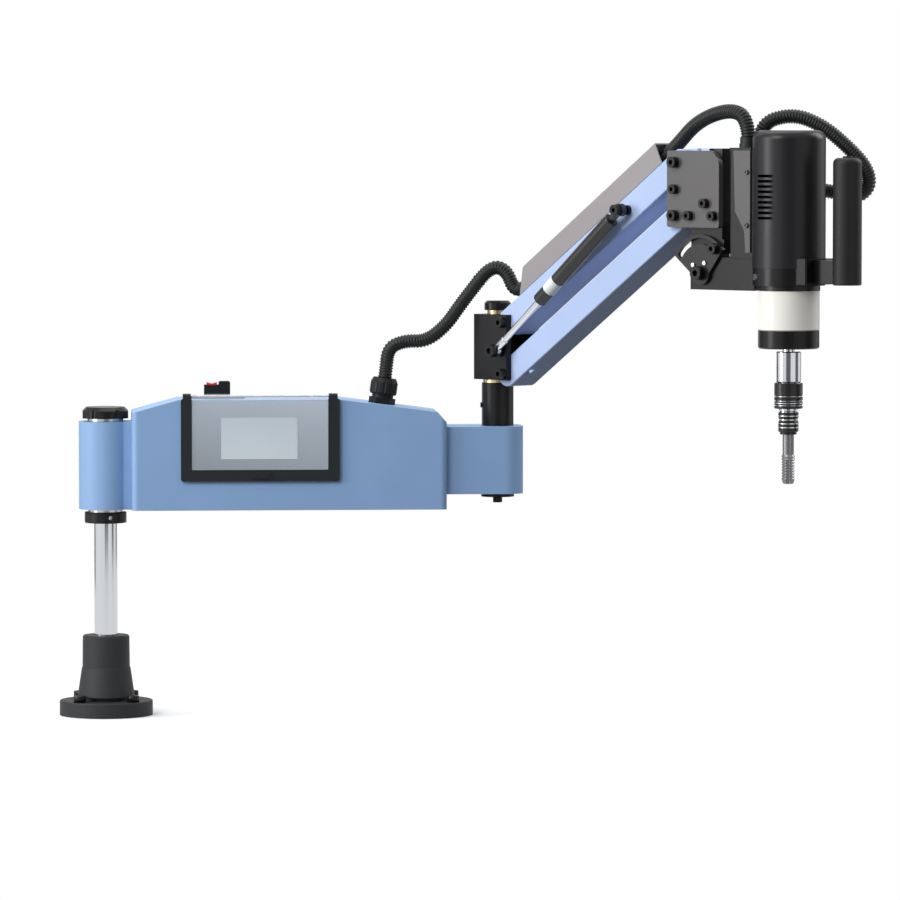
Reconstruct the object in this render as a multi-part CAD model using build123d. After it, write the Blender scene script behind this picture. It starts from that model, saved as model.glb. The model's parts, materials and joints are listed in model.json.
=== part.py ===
"""Arm tapping machine: a column, a control arm that swivels on it, and a lifting
parallelogram arm that carries a servo tapping head.

Millimetres, +Z up. The origin is the centre of the base's underside. +X runs from the
column to the elbow, and -Y is the operator's side with the touch panel.
The lifting arm and the head are drawn along their own +X from the elbow's axis, and then
turned about that axis to the pose they rest in.
"""

import os
from math import atan2, cos, degrees, hypot, radians, sin, tan

from build123d import *

# Base and column
BASE_RADIUS = 70
FLANGE_THICKNESS = 22
BASE_HEIGHT = 120
BOLT_CIRCLE_RADIUS = 56.5
BASE_HOLE_RADIUS = 5.5
COLUMN_RADIUS = 17.5
COLLAR_BOTTOM = 289
COLLAR_TOP = 305.5

# Control arm
ARM_BOTTOM = 310
BARREL_TOP = 441.5
BARREL_RADIUS = 40
BARREL_BORE = 21
BOX_LEFT = 39
BOX_RIGHT = 510
BOX_TOP = 475
BOX_HALF_DEPTH = 58
WALL = 4
LUG_RIGHT = 627
LUG_BOTTOM = 332
LUG_TOP = 433
LUG_HALF_DEPTH = 45

# Touch panel on the front of the box
FRAME_LEFT, FRAME_RIGHT = 112, 349
FRAME_BOTTOM, FRAME_TOP = 354, 477
PANEL_LEFT, PANEL_RIGHT = 128, 332
PANEL_BOTTOM = 371
LID_HINGE_Y, LID_HINGE_Z = -50, 480.5

# Power switch on top of the box
ROCKER_X, ROCKER_Z = 159.5, 490.5
ROCKER_PIN = 1.5

# Elbow
ELBOW_X = 590
ELBOW_SHAFT_RADIUS = 11
ARM_TURN = -49
BLOCK_BOTTOM, BLOCK_TOP = 503.5, 601.5

# Lifting parallelogram, in the arm's own frame: X from the elbow axis, Z up
LINK_LENGTH = 426
LINK_ANGLE = 34.4
PIN_X = 44.5
LOWER_PIN_Z = 513
PIN_SPACING = 77
PIN_RADIUS = 6
BEAM_HEIGHT = 38
BEAM_HALF_WIDTH = 25.5
CHEEK_INNER, CHEEK_OUTER = 26, 35

# Gas spring
GAS_PLANE = -43
GAS_LOWER = (38, 548)
GAS_UPPER_ALONG = 302
GAS_TUBE_RADIUS, GAS_ROD_RADIUS = 11, 5
GAS_TUBE_START, GAS_ROD_END = 120, 262

# Tilting head
TILT_X, TILT_Z = 443, 671
TILT_RADIUS = 24
SLOT_RADIUS = 46.5
LOCK_ANGLE = 50
SLOT_END_ANGLE = 146
SECTOR_FACE = 32
CARRIER_SPLIT = 744
CLAMP_BORE = 45
SPINDLE_X = 586
CLAMP_BOTTOM, CLAMP_TOP = 655.5, 680
COVER_RADIUS = 52.5
COVER_TOP = 877
HANDLE_X = 696.5

# The conduit behind the head
PORT_UPPER = (517, -10)
PORT_HEAD = (512, 18)
LOOP_TURN = 49
PLUG_MOUTH = 62
MOTOR_PLUG_Z = 792

CONDUIT_CREST = 10.6
CONDUIT_BORE = 7.5

RUNNING_FIT = 0.05
GAP = 0.3

UPPER_PIN_Z = LOWER_PIN_Z + PIN_SPACING
REACH_X = PIN_X + LINK_LENGTH * cos(radians(LINK_ANGLE))
RISE = LINK_LENGTH * sin(radians(LINK_ANGLE))
ARM_PLACE = Location((ELBOW_X, 0, 0), (0, 0, ARM_TURN))


def block(x0, x1, y0, y1, z0, z1):
    """A box between two corners."""
    return Pos((x0 + x1) / 2, (y0 + y1) / 2, (z0 + z1) / 2) * Box(x1 - x0, y1 - y0, z1 - z0)


def upright(x, y, z0, z1, radius):
    """A cylinder along Z."""
    return Pos(x, y, (z0 + z1) / 2) * Cylinder(radius, z1 - z0)


def ring(x, y, z0, z1, outer, inner):
    return upright(x, y, z0, z1, outer) - upright(x, y, z0 - 1, z1 + 1, inner)


def cross_pin(x, z, y0, y1, radius):
    """A cylinder along Y."""
    return Pos(x, (y0 + y1) / 2, z) * Rot(90, 0, 0) * Cylinder(radius, y1 - y0)


def side_slab(outline, y0, y1):
    """An outline drawn in X and Z, with its thickness between two values of Y."""
    plane = Plane(origin=(0, y1, 0), x_dir=(1, 0, 0), z_dir=(0, -1, 0))
    return extrude(plane * outline, amount=y1 - y0)


def outline(points, radius=0):
    """A closed straight-sided outline with its corners rounded."""
    face = make_face(Polyline(*points, close=True))
    if radius:
        face = fillet(face.vertices(), radius)
    return face


def turned(points, x=0, y=0):
    """A body of revolution from a profile of (radius, height) points."""
    profile = make_face(Polyline(*[(r, 0, z) for r, z in points], close=True))
    return Pos(x, y, 0) * revolve(profile, Axis.Z)


def socket_screw(x, z, face_y, away, head_radius, head_height, shank_radius, shank):
    """A socket-head screw along Y; away is -1 where its head looks to -Y, or 1."""
    tip = face_y - away * shank
    top = face_y + away * head_height
    head = cross_pin(x, z, min(face_y, top), max(face_y, top), head_radius)
    key_depth = top - away * head_height * 0.55
    key = Pos(x, (key_depth + top) / 2, z) * Rot(90, 0, 0)
    key *= extrude(RegularPolygon(head_radius * 0.5, 6), head_height * 0.3, both=True)
    return head - key + cross_pin(x, z, min(face_y, tip), max(face_y, tip), shank_radius)


def save(shape, name, arm=False):
    if arm:
        shape = ARM_PLACE * shape
    solids = shape.solids()
    whole = solids[0] if len(solids) == 1 else Compound(children=list(solids))
    export_step(whole, f"parts/{name}.step")
    print(f"{name}: {len(solids)} solid(s), {sum(s.volume for s in solids) / 1000:.2f} cm3")


# ---------------------------------------------------------------- base and column


def base_casting():
    """A cast foot: bolted flange, undercut neck and a tapered socket for the column."""
    neck_radius = 34.5
    profile = [
        (0, 8), (30, 8), (30, 0), (BASE_RADIUS, 0), (BASE_RADIUS, FLANGE_THICKNESS),
        (neck_radius, FLANGE_THICKNESS), (neck_radius, 28), (43, 28), (36.5, 71), (35.6, 72),
        (35, BASE_HEIGHT - 2), (33, BASE_HEIGHT), (COLUMN_RADIUS, BASE_HEIGHT),
        (COLUMN_RADIUS, 40), (0, 40),
    ]
    body = turned(profile)
    rims = body.edges().filter_by(GeomType.CIRCLE).filter_by(
        lambda e: abs(e.radius - BASE_RADIUS) < 0.1 and e.center().Z > 1
    )
    body = fillet(rims, 2)
    for turn in (45, 135, 225, 315):
        x = BOLT_CIRCLE_RADIUS * cos(radians(turn))
        y = BOLT_CIRCLE_RADIUS * sin(radians(turn))
        body -= upright(x, y, -1, FLANGE_THICKNESS + 1, BASE_HOLE_RADIUS)
    return body


def column():
    stub_radius = 12
    shaft = upright(0, 0, 40, 446, COLUMN_RADIUS)
    return shaft + upright(0, 0, 446, 459, stub_radius)


def support_collar():
    collar = ring(0, 0, COLLAR_BOTTOM, COLLAR_TOP, 31.5, COLUMN_RADIUS)
    edges = collar.edges().filter_by(GeomType.CIRCLE).filter_by(lambda e: e.radius > 30)
    collar = chamfer(edges, 1)
    return collar - collar_screw_hole(3.2)


def collar_screw_hole(radius):
    """The radial hole for the collar's locking screw, a little right of the front."""
    place = Rot(0, 0, 14) * Pos(0, -25, (COLLAR_BOTTOM + COLLAR_TOP) / 2) * Rot(90, 0, 0)
    return place * Cylinder(radius, 16)


def collar_screw():
    place = Rot(0, 0, 14) * Pos(0, -22.6, (COLLAR_BOTTOM + COLLAR_TOP) / 2) * Rot(90, 0, 0)
    hexagon = extrude(RegularPolygon(1.6, 6), 2, both=True)
    return place * (Cylinder(3.2, 10) - Pos(0, 0, 5) * hexagon)


def column_washers():
    """The plain washers under and over the barrel."""
    low = ring(0, 0, COLLAR_TOP, ARM_BOTTOM - GAP, 26, COLUMN_RADIUS)
    high = ring(0, 0, BARREL_TOP + GAP, 446, 27, COLUMN_RADIUS)
    return Compound(children=[low, high])


def column_cap_nut():
    nut = upright(0, 0, 446, 463, 34.5)
    top = nut.edges().filter_by(GeomType.CIRCLE).sort_by(Axis.Z)[-1]
    nut = chamfer(top, 5.5)
    for turn in range(0, 360, 60):
        nut -= Rot(0, 0, turn) * upright(37.5, 0, 445, 464, 5)
    return nut - upright(0, 0, 445, 459, 12)


# ---------------------------------------------------------------- control arm


def box_outline():
    """The control box from the front: a flat crown that slopes down to each end."""
    points = [
        (BOX_LEFT, ARM_BOTTOM), (BOX_LEFT, 456), (108, BOX_TOP), (351, BOX_TOP),
        (496, 456), (BOX_RIGHT, 440), (BOX_RIGHT, ARM_BOTTOM),
    ]
    return outline(points)


def arm_housing():
    """The box, the barrel round the column and the lug that carries the elbow."""
    box = side_slab(box_outline(), -BOX_HALF_DEPTH, BOX_HALF_DEPTH)
    corners = box.edges().filter_by(Axis.Z)
    box = fillet(corners, 9)
    lug = block(BOX_RIGHT - 30, LUG_RIGHT, -LUG_HALF_DEPTH, LUG_HALF_DEPTH, LUG_BOTTOM, LUG_TOP)
    ends = lug.edges().filter_by(Axis.Z).filter_by(lambda e: e.center().X > LUG_RIGHT - 1)
    lug = fillet(ends, 27)
    barrel = upright(0, 0, ARM_BOTTOM, BARREL_TOP, BARREL_RADIUS)
    web = block(0, BOX_LEFT + 6, -30, 30, ARM_BOTTOM, BARREL_TOP)
    body = box + lug + barrel + web
    cavity = block(
        BOX_LEFT + 8, BOX_RIGHT - 6, -BOX_HALF_DEPTH + WALL, BOX_HALF_DEPTH + 1, ARM_BOTTOM + 6, 448
    )
    body -= cavity
    body -= block(135, 325, -BOX_HALF_DEPTH - 1, -BOX_HALF_DEPTH + WALL + 1, 378, 442)
    body -= upright(0, 0, ARM_BOTTOM - 1, BARREL_TOP + 1, BARREL_BORE)
    body -= upright(ELBOW_X, 0, LUG_BOTTOM - 1, LUG_TOP + 1, ELBOW_SHAFT_RADIUS)
    body -= gland_place() * upright(0, 0, -40, 2, 13)
    return body


def rear_cover():
    """The plate that closes the box from behind, and its six screws."""
    plate = block(
        BOX_LEFT + 11, BOX_RIGHT - 9, BOX_HALF_DEPTH, BOX_HALF_DEPTH + 2.5, ARM_BOTTOM + 2, 452
    )
    screws = [fillet(plate.edges().filter_by(Axis.Y), 5)]
    for x in (60, 275, 490):
        for z in (ARM_BOTTOM + 10, 444):
            screws.append(cross_pin(x, z, BOX_HALF_DEPTH + 2.5, BOX_HALF_DEPTH + 5, 4))
    return Compound(children=screws)


def drive_unit():
    """The servo drive inside the box, a finned case that stands on the box's floor."""
    body = block(350, 480, -35, 40, ARM_BOTTOM + 6, 440)
    for step in range(6):
        y = -28 + step * 11
        body -= block(474, 482, y, y + 5, ARM_BOTTOM + 20, 432)
    return body


def barrel_bushes():
    inner = COLUMN_RADIUS + RUNNING_FIT
    low = ring(0, 0, ARM_BOTTOM, ARM_BOTTOM + 30, BARREL_BORE, inner)
    high = ring(0, 0, BARREL_TOP - 30, BARREL_TOP, BARREL_BORE, inner)
    return Compound(children=[low, high])


def screen_frame():
    """A U-shaped frame round the touch panel, with two lugs for the lid's hinge pin."""
    front, back = -BOX_HALF_DEPTH - 5, -BOX_HALF_DEPTH
    frame = block(FRAME_LEFT, FRAME_RIGHT, front, back, FRAME_BOTTOM, FRAME_TOP)
    frame = fillet(frame.edges().filter_by(Axis.Y), 3)
    frame -= block(PANEL_LEFT, PANEL_RIGHT, front - 1, back + 1, PANEL_BOTTOM, FRAME_TOP + 1)
    for x0, x1 in ((FRAME_LEFT + 3, PANEL_LEFT - 1), (PANEL_RIGHT + 1, FRAME_RIGHT - 3)):
        lug = block(x0, x1, front, LID_HINGE_Y + 4, BOX_TOP, LID_HINGE_Z + 4)
        frame += fillet(lug.edges().filter_by(Axis.X).sort_by(Axis.Z)[-2:], 3)
    pin = Pos(0, LID_HINGE_Y, LID_HINGE_Z) * Rot(0, 90, 0) * Cylinder(1.5, 900)
    return frame - pin + lid_latch()


def lid_hinge_pin():
    length = PANEL_RIGHT - PANEL_LEFT + 20
    middle = (PANEL_RIGHT + PANEL_LEFT) / 2
    return Pos(middle, LID_HINGE_Y, LID_HINGE_Z) * Rot(0, 90, 0) * Cylinder(1.5, length)


def lid_latch():
    latch = block(217, 246, -BOX_HALF_DEPTH - 7.5, -BOX_HALF_DEPTH - 5, 358, 368)
    latch = fillet(latch.edges().filter_by(Axis.Y), 2)
    for x in (224, 239):
        latch += cross_pin(x, 363, -BOX_HALF_DEPTH - 9, -BOX_HALF_DEPTH - 7.5, 2.2)
    return latch


def clear_lid():
    """A thin clear cover that bends over the top of the frame to its hinge."""
    inner = -BOX_HALF_DEPTH - 5.5
    x0, x1 = PANEL_LEFT + 0.5, PANEL_RIGHT - 0.5
    front = block(x0, x1, inner - 2, inner, PANEL_BOTTOM, LID_HINGE_Z + 1)
    top = block(x0, x1, inner - 2, LID_HINGE_Y, LID_HINGE_Z - 1, LID_HINGE_Z + 1)
    lid = front + top
    bend = lid.edges().filter_by(Axis.X).filter_by(
        lambda e: e.center().Y < inner - 1.9 and e.center().Z > LID_HINGE_Z
    )
    lid = fillet(bend, 1.8)
    knuckle = Pos((x0 + x1) / 2, LID_HINGE_Y, LID_HINGE_Z) * Rot(0, 90, 0)
    lid += knuckle * Cylinder(3.4, x1 - x0)
    return lid - knuckle * Cylinder(1.5 + RUNNING_FIT, x1 - x0 + 2)


def touch_panel():
    """The panel behind the lid; its back part sits in the housing's window."""
    front = block(
        PANEL_LEFT, PANEL_RIGHT, -BOX_HALF_DEPTH - 3, -BOX_HALF_DEPTH, PANEL_BOTTOM, FRAME_TOP - 4
    )
    back = block(137, 323, -BOX_HALF_DEPTH, -BOX_HALF_DEPTH + 30, 380, 440)
    return front + back


def display():
    y = -BOX_HALF_DEPTH - 3
    return block(172, 286, y - 0.8, y, 387, 449)


def switch_plate():
    plate = block(127, 209, -11, 11, BOX_TOP, BOX_TOP + 2.5)
    plate = fillet(plate.edges().filter_by(Axis.Z), 4)
    for x in (134, 202):
        plate += turned([(0, 477.5), (4, 477.5), (3.4, 479), (1.6, 480), (0, 480.2)], x)
    return plate


def switch_housing():
    """The switch's case: a low well for the rocker, and a taller guard beside it."""
    low = block(148, 187, -11, 11, BOX_TOP + 2.5, 495.5)
    guard = block(170, 187, -11, 11, 495.5, 501)
    guard = fillet(guard.edges().filter_by(Axis.Y).sort_by(Axis.Z)[-2:], 2.5)
    case = low + guard - block(149.3, 169.7, -9, 9, 484, 497)
    return case - cross_pin(ROCKER_X, ROCKER_Z, -9.8, 9.8, ROCKER_PIN + RUNNING_FIT)


def rocker():
    """A rocker key with a dished crown, on a pin in the case's two walls."""
    half, low, high = 7.8, ROCKER_Z - 3.5, ROCKER_Z + 9
    crown = [(ROCKER_X - half, high), (ROCKER_X, high - 2.2), (ROCKER_X + half, high)]
    key = side_slab(outline([(ROCKER_X - half, low), *crown, (ROCKER_X + half, low)]), -8.4, 8.4)
    return key + cross_pin(ROCKER_X, ROCKER_Z, -9.6, 9.6, ROCKER_PIN)


def gland_place():
    """The gland stands square on the box's sloping top."""
    slope = degrees(atan2(BOX_TOP - 456, 496 - 351))
    x = 415
    z = BOX_TOP - (x - 351) * (BOX_TOP - 456) / (496 - 351)
    return Location((x, 0, z), (0, slope, 0))


def cable_gland():
    """A hexagon body with a ribbed dome nut, bored for the conduit."""
    body = extrude(RegularPolygon(20, 6), 9) + upright(0, 0, 9, 14, 16)
    nut = turned([(0, 14), (19, 14), (20.5, 17), (20.5, 32), (17, 39), (0, 39)])
    for turn in range(0, 360, 30):
        nut -= Rot(0, 0, turn) * upright(21.8, 0, 16, 40, 2.4)
    gland = body + nut - upright(0, 0, -1, 26, 8) - upright(0, 0, 26, 45, CONDUIT_CREST + 0.8)
    return gland_place() * gland


def elbow_post():
    """The post on the lug, with the screw on its left that locks the elbow's shaft."""
    post = ring(ELBOW_X, 0, LUG_TOP, 498, 24, ELBOW_SHAFT_RADIUS)
    post = fillet(post.edges().filter_by(GeomType.CIRCLE).filter_by(lambda e: e.radius > 20), 1)
    return post + post_screw()


def post_screw():
    place = Pos(ELBOW_X - 23.5, 0, 464) * Rot(0, 90, 0)
    return place * (Cylinder(4, 5) - Pos(0, 0, -2.5) * extrude(RegularPolygon(2, 6), 1, both=True))


def elbow_shaft():
    return upright(ELBOW_X, 0, LUG_BOTTOM, 612, ELBOW_SHAFT_RADIUS)


def elbow_rings():
    low = ring(ELBOW_X, 0, 498, BLOCK_BOTTOM - 0.2, 22.5, ELBOW_SHAFT_RADIUS)
    high = ring(ELBOW_X, 0, BLOCK_TOP + 0.2, 607, 16, ELBOW_SHAFT_RADIUS)
    return Compound(children=[low, high])


def elbow_nut():
    nut = upright(ELBOW_X, 0, 607, 621, 20)
    nut = chamfer(nut.edges().filter_by(GeomType.CIRCLE).sort_by(Axis.Z)[-1], 3.5)
    return nut - upright(ELBOW_X, 0, 606, 612, ELBOW_SHAFT_RADIUS)


def elbow_foot():
    """The disc and the bolt under the lug that hold the elbow's shaft."""
    disc = upright(ELBOW_X, 0, 326, LUG_BOTTOM, 25)
    head = upright(ELBOW_X, 0, 317, 326, 7)
    return disc + head - Pos(ELBOW_X, 0, 317) * extrude(RegularPolygon(3.5, 6), 4, both=True)


# ---------------------------------------------------------------- lifting arm


def pivot_block():
    """The block that turns on the elbow's shaft, forked to take both beams."""
    body = block(-17, 54, -CHEEK_OUTER, CHEEK_OUTER, BLOCK_BOTTOM, BLOCK_TOP)
    body = chamfer(body.edges().filter_by(Axis.Z), 1.5)
    body -= block(24, 60, -CHEEK_INNER, CHEEK_INNER, BLOCK_BOTTOM - 1, BLOCK_TOP + 1)
    body -= upright(0, 0, BLOCK_BOTTOM - 1, BLOCK_TOP + 1, ELBOW_SHAFT_RADIUS + RUNNING_FIT)
    for z in (LOWER_PIN_Z, UPPER_PIN_Z):
        body -= cross_pin(PIN_X, z, -60, 60, PIN_RADIUS)
    return body - cross_pin(GAS_LOWER[0], GAS_LOWER[1], -60, -18, 3)


def through_pin(x, z):
    """A shoulder bolt right through a fork: head in front, nut behind."""
    head = socket_screw(x, z, -CHEEK_OUTER, -1, 8, 10, PIN_RADIUS, 2 * CHEEK_OUTER)
    nut = Pos(x, CHEEK_OUTER, z) * Rot(-90, 0, 0) * extrude(RegularPolygon(10, 6), 7)
    return head + nut


def block_bolts():
    """The two beam pins, and the stud for the gas spring's rod. The stud's wide head
    hides the slack in the rod's eye."""
    x, z = GAS_LOWER
    stud = socket_screw(x, z, GAS_PLANE - 6.5, -1, 9.8, 8, 3, 23)
    return Compound(children=[through_pin(PIN_X, z) for z in (LOWER_PIN_Z, UPPER_PIN_Z)] + [stud])


def along_beam(pin_z):
    return Location((PIN_X, 0, pin_z), (0, -LINK_ANGLE, 0))


def beam(pin_z):
    """A cast beam with a round, bored boss at each end."""
    half = BEAM_HEIGHT / 2
    body = Pos(LINK_LENGTH / 2, 0, 0) * Rot(90, 0, 0) * extrude(
        SlotCenterToCenter(LINK_LENGTH, BEAM_HEIGHT), BEAM_HALF_WIDTH, both=True
    )
    body = chamfer(body.edges().filter_by(Axis.X), 1.2)
    for x in (0, LINK_LENGTH):
        body -= cross_pin(x, 0, -60, 60, PIN_RADIUS + RUNNING_FIT)
    pocket = block(45, LINK_LENGTH - 45, -BEAM_HALF_WIDTH + 5, BEAM_HALF_WIDTH - 5, -half + 4, half - 4)
    return along_beam(pin_z) * (body - pocket)


def upper_beam():
    body = beam(UPPER_PIN_Z)
    hole = cross_pin(GAS_UPPER_ALONG, 0, -60, -BEAM_HALF_WIDTH + 5, 4)
    return body - along_beam(UPPER_PIN_Z) * hole


def cable_cover():
    """A folded sheet duct on the upper beam, open below and at both ends."""
    low, high, wall = BEAM_HEIGHT / 2, BEAM_HEIGHT / 2 + 32.5, 2
    half = BEAM_HALF_WIDTH
    side = outline([(46, low), (76, high), (400, high), (396, low)])
    cover = side_slab(side, -half, half)
    cover = fillet(cover.edges().filter_by(Axis.X).sort_by(Axis.Z)[-2:], 3)
    cover -= block(20, 420, -half + wall, half - wall, low - 1, high - wall)
    flange = block(60, 380, -half + wall, half - wall, low, low + wall)
    flange -= block(50, 390, -half + 12, half - 12, low - 1, low + wall + 1)
    return along_beam(UPPER_PIN_Z) * (cover + flange)


def gas_upper_stud():
    """A shouldered stud on the beam's face that carries the gas spring's upper eye."""
    face = -BEAM_HALF_WIDTH
    boss = cross_pin(GAS_UPPER_ALONG, 0, face - 6, face, 7)
    shank = cross_pin(GAS_UPPER_ALONG, 0, GAS_PLANE - 6, face + 5, 4)
    head = cross_pin(GAS_UPPER_ALONG, 0, GAS_PLANE - 14, GAS_PLANE - 6, 8)
    hexagon = Pos(GAS_UPPER_ALONG, GAS_PLANE - 14, 0) * Rot(90, 0, 0)
    head -= hexagon * extrude(RegularPolygon(4, 6), 4, both=True)
    return along_beam(UPPER_PIN_Z) * (boss + shank + head)


def lower_beam():
    """The lower beam, with the small bumper under it."""
    low = -BEAM_HEIGHT / 2
    stop = upright(40, -18, low - 5, low + 1, 4)
    return beam(LOWER_PIN_Z) + along_beam(LOWER_PIN_Z) * stop


def gas_ends():
    """The gas spring's two ends in the arm's frame, and its tilt and length."""
    x1 = PIN_X + GAS_UPPER_ALONG * cos(radians(LINK_ANGLE))
    z1 = UPPER_PIN_Z + GAS_UPPER_ALONG * sin(radians(LINK_ANGLE))
    dx, dz = x1 - GAS_LOWER[0], z1 - GAS_LOWER[1]
    return (x1, z1), degrees(atan2(dz, dx)), hypot(dx, dz)


def along_gas():
    """A frame on the lower stud, with X along the gas spring."""
    _, tilt, _ = gas_ends()
    return Location((GAS_LOWER[0], GAS_PLANE, GAS_LOWER[1]), (0, -tilt, 0))


def lying(x0, x1, radius):
    """A cylinder along X on the gas spring's own axis."""
    return Pos((x0 + x1) / 2, 0, 0) * Rot(0, 90, 0) * Cylinder(radius, x1 - x0)


def gas_cylinder():
    """The pressure tube with its end cap, and the eye on the upper stud."""
    _, _, length = gas_ends()
    tube = lying(GAS_TUBE_START, length - 22, GAS_TUBE_RADIUS)
    tube = fillet(tube.edges().filter_by(GeomType.CIRCLE), 1.5)
    neck = lying(length - 22, length - 6, 5.5)
    eye = Pos(length, 0, 0) * Rot(90, 0, 0) * Cylinder(9.5, 9)
    body = tube + neck + eye
    body -= Pos(length, 0, 0) * Rot(90, 0, 0) * Cylinder(4 + RUNNING_FIT, 20)
    return along_gas() * (body - lying(GAS_TUBE_START - 1, length - 36, GAS_ROD_RADIUS + 0.4))


def gas_rod():
    """The bright rod with a ring at its lower end, loose on its stud by the slack
    that the ring needs over the whole lift."""
    rod = lying(14, GAS_ROD_END, GAS_ROD_RADIUS)
    fitting = lying(8.2, 26, 5.8)
    eye = Rot(90, 0, 0) * (Cylinder(9.6, 8) - Cylinder(7.4, 10))
    return along_gas() * (rod + (fitting - Rot(90, 0, 0) * Cylinder(9, 30)) + eye)


# ---------------------------------------------------------------- head carrier


def carrier_outline():
    x0, x1 = REACH_X - 16, REACH_X + 86
    z0, z1 = LOWER_PIN_Z + RISE - 17, UPPER_PIN_Z + RISE + 17
    face = outline([(x0, z0), (x0, z1), (x1, z1), (x1, z0)])
    corners = face.vertices().sort_by(Axis.Y)
    top_right = corners[-2:].sort_by(Axis.X)[-1]
    face = fillet(top_right, 24)
    return fillet(face.vertices().filter_by(lambda v: v.X < x0 + 1 or v.Y < z0 + 1), 4)


def carrier_plates():
    """The two plates that take the beams' upper pins."""
    front = side_slab(carrier_outline(), -CHEEK_OUTER, -CHEEK_INNER)
    rear = side_slab(carrier_outline(), CHEEK_INNER, CHEEK_OUTER)
    plates = []
    for plate in (front, rear):
        for z in (LOWER_PIN_Z + RISE, UPPER_PIN_Z + RISE):
            plate -= cross_pin(REACH_X, z, -60, 60, PIN_RADIUS)
        plates.append(plate)
    return Compound(children=plates)


def carrier_block():
    """The spacer between the plates, with two notches along its top."""
    x0, x1 = REACH_X + 24, REACH_X + 84
    top = UPPER_PIN_Z + RISE + 20
    body = block(x0, x1, -CHEEK_INNER, CHEEK_INNER, CARRIER_SPLIT, top)
    for x in (x0 + 12, x0 + 36):
        body -= block(x, x + 8, -CHEEK_INNER - 1, CHEEK_INNER + 1, top - 7, top + 1)
    return body


def tilt_lug():
    """The tongue that carries the head's tilt bolt, with a seat for the lock bolt."""
    x0, x1 = REACH_X + 24, REACH_X + 88
    body = block(x0, x1, -CHEEK_INNER, CHEEK_INNER, 699, CARRIER_SPLIT)
    body -= block(REACH_X + 84.5, x1 + 1, -30, 30, 720, CARRIER_SPLIT + 1)
    body += block(TILT_X - 18, TILT_X + 18, -11.7, 11.7, TILT_Z, 700)
    body += cross_pin(TILT_X, TILT_Z, -11.7, 11.7, TILT_RADIUS)
    body -= cross_pin(TILT_X, TILT_Z, -60, 60, PIN_RADIUS)
    lock_x, lock_z = lock_place()
    return body - cross_pin(lock_x, lock_z, -60, -6, 4)


def lock_place():
    x = TILT_X + SLOT_RADIUS * cos(radians(LOCK_ANGLE))
    z = TILT_Z + SLOT_RADIUS * sin(radians(LOCK_ANGLE))
    return x, z


def carrier_bolts():
    """The beams' upper pins, and the screws that clamp the plates from both sides."""
    places = [(0, 38), (29, 0), (60, 18), (76, 0)]
    bolts = [through_pin(REACH_X, z + RISE) for z in (LOWER_PIN_Z, UPPER_PIN_Z)]
    for side in (-1, 1):
        for dx, dz in places:
            z = LOWER_PIN_Z + RISE + dz
            bolts.append(
                socket_screw(REACH_X + dx, z, side * CHEEK_OUTER, side, 7, 8.5, 0.5, 0.1)
            )
    return Compound(children=bolts)


def tilt_bolts():
    """The tilt bolt through the fork, and the lock bolt in the sector's slot."""
    reach = SECTOR_FACE
    pivot = socket_screw(TILT_X, TILT_Z, -reach - GAP, -1, 10, 11, PIN_RADIUS, 2 * reach)
    nut = Pos(TILT_X, CHEEK_INNER + GAP, TILT_Z) * Rot(-90, 0, 0)
    pivot += nut * extrude(RegularPolygon(11, 6), 9)
    lock_x, lock_z = lock_place()
    lock = socket_screw(lock_x, lock_z, -reach - GAP, -1, 8, 10, 4, 24)
    return Compound(children=[pivot, lock])


# ---------------------------------------------------------------- tapping head

def on_sector(radius, turn):
    return TILT_X + radius * cos(radians(turn)), TILT_Z + radius * sin(radians(turn))


def sector_plate():
    """A fan-shaped plate with an arc slot, centred on the tilt bolt."""
    outer, boss = 55.5, 17
    first, last = 38, 154
    centre = (TILT_X, TILT_Z)
    rim = CenterArc(centre, outer, first, last - first)
    start, end = on_sector(outer, first), on_sector(outer, last)
    left, right = on_sector(boss, 185), on_sector(boss, 0)
    fan = make_face(rim + Line(end, left) + Line(left, right) + Line(right, start))
    fan = fan + Pos(*centre) * Circle(boss)
    half = 4.5
    inner_arc = CenterArc(centre, SLOT_RADIUS - half, LOCK_ANGLE, SLOT_END_ANGLE - LOCK_ANGLE)
    outer_arc = CenterArc(centre, SLOT_RADIUS + half, LOCK_ANGLE, SLOT_END_ANGLE - LOCK_ANGLE)
    ends = [inner_arc @ 0, outer_arc @ 0, inner_arc @ 1, outer_arc @ 1]
    slot = make_face(inner_arc + Line(ends[2], ends[3]) + outer_arc + Line(ends[0], ends[1]))
    for turn in (LOCK_ANGLE, SLOT_END_ANGLE):
        slot = slot + Pos(*on_sector(SLOT_RADIUS, turn)) * Circle(half)
    plate = side_slab(fan - slot, -SECTOR_FACE, -CHEEK_INNER - GAP)
    return plate - cross_pin(TILT_X, TILT_Z, -60, 60, PIN_RADIUS + RUNNING_FIT)


def sector_screws():
    screws = []
    for dx, dz in ((-12, 11), (9, 14)):
        head = cross_pin(TILT_X + dx * 1.05, TILT_Z + dz * 1.05, -SECTOR_FACE - 2.5, -SECTOR_FACE, 3.2)
        screws.append(head)
    return Compound(children=screws)


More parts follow.
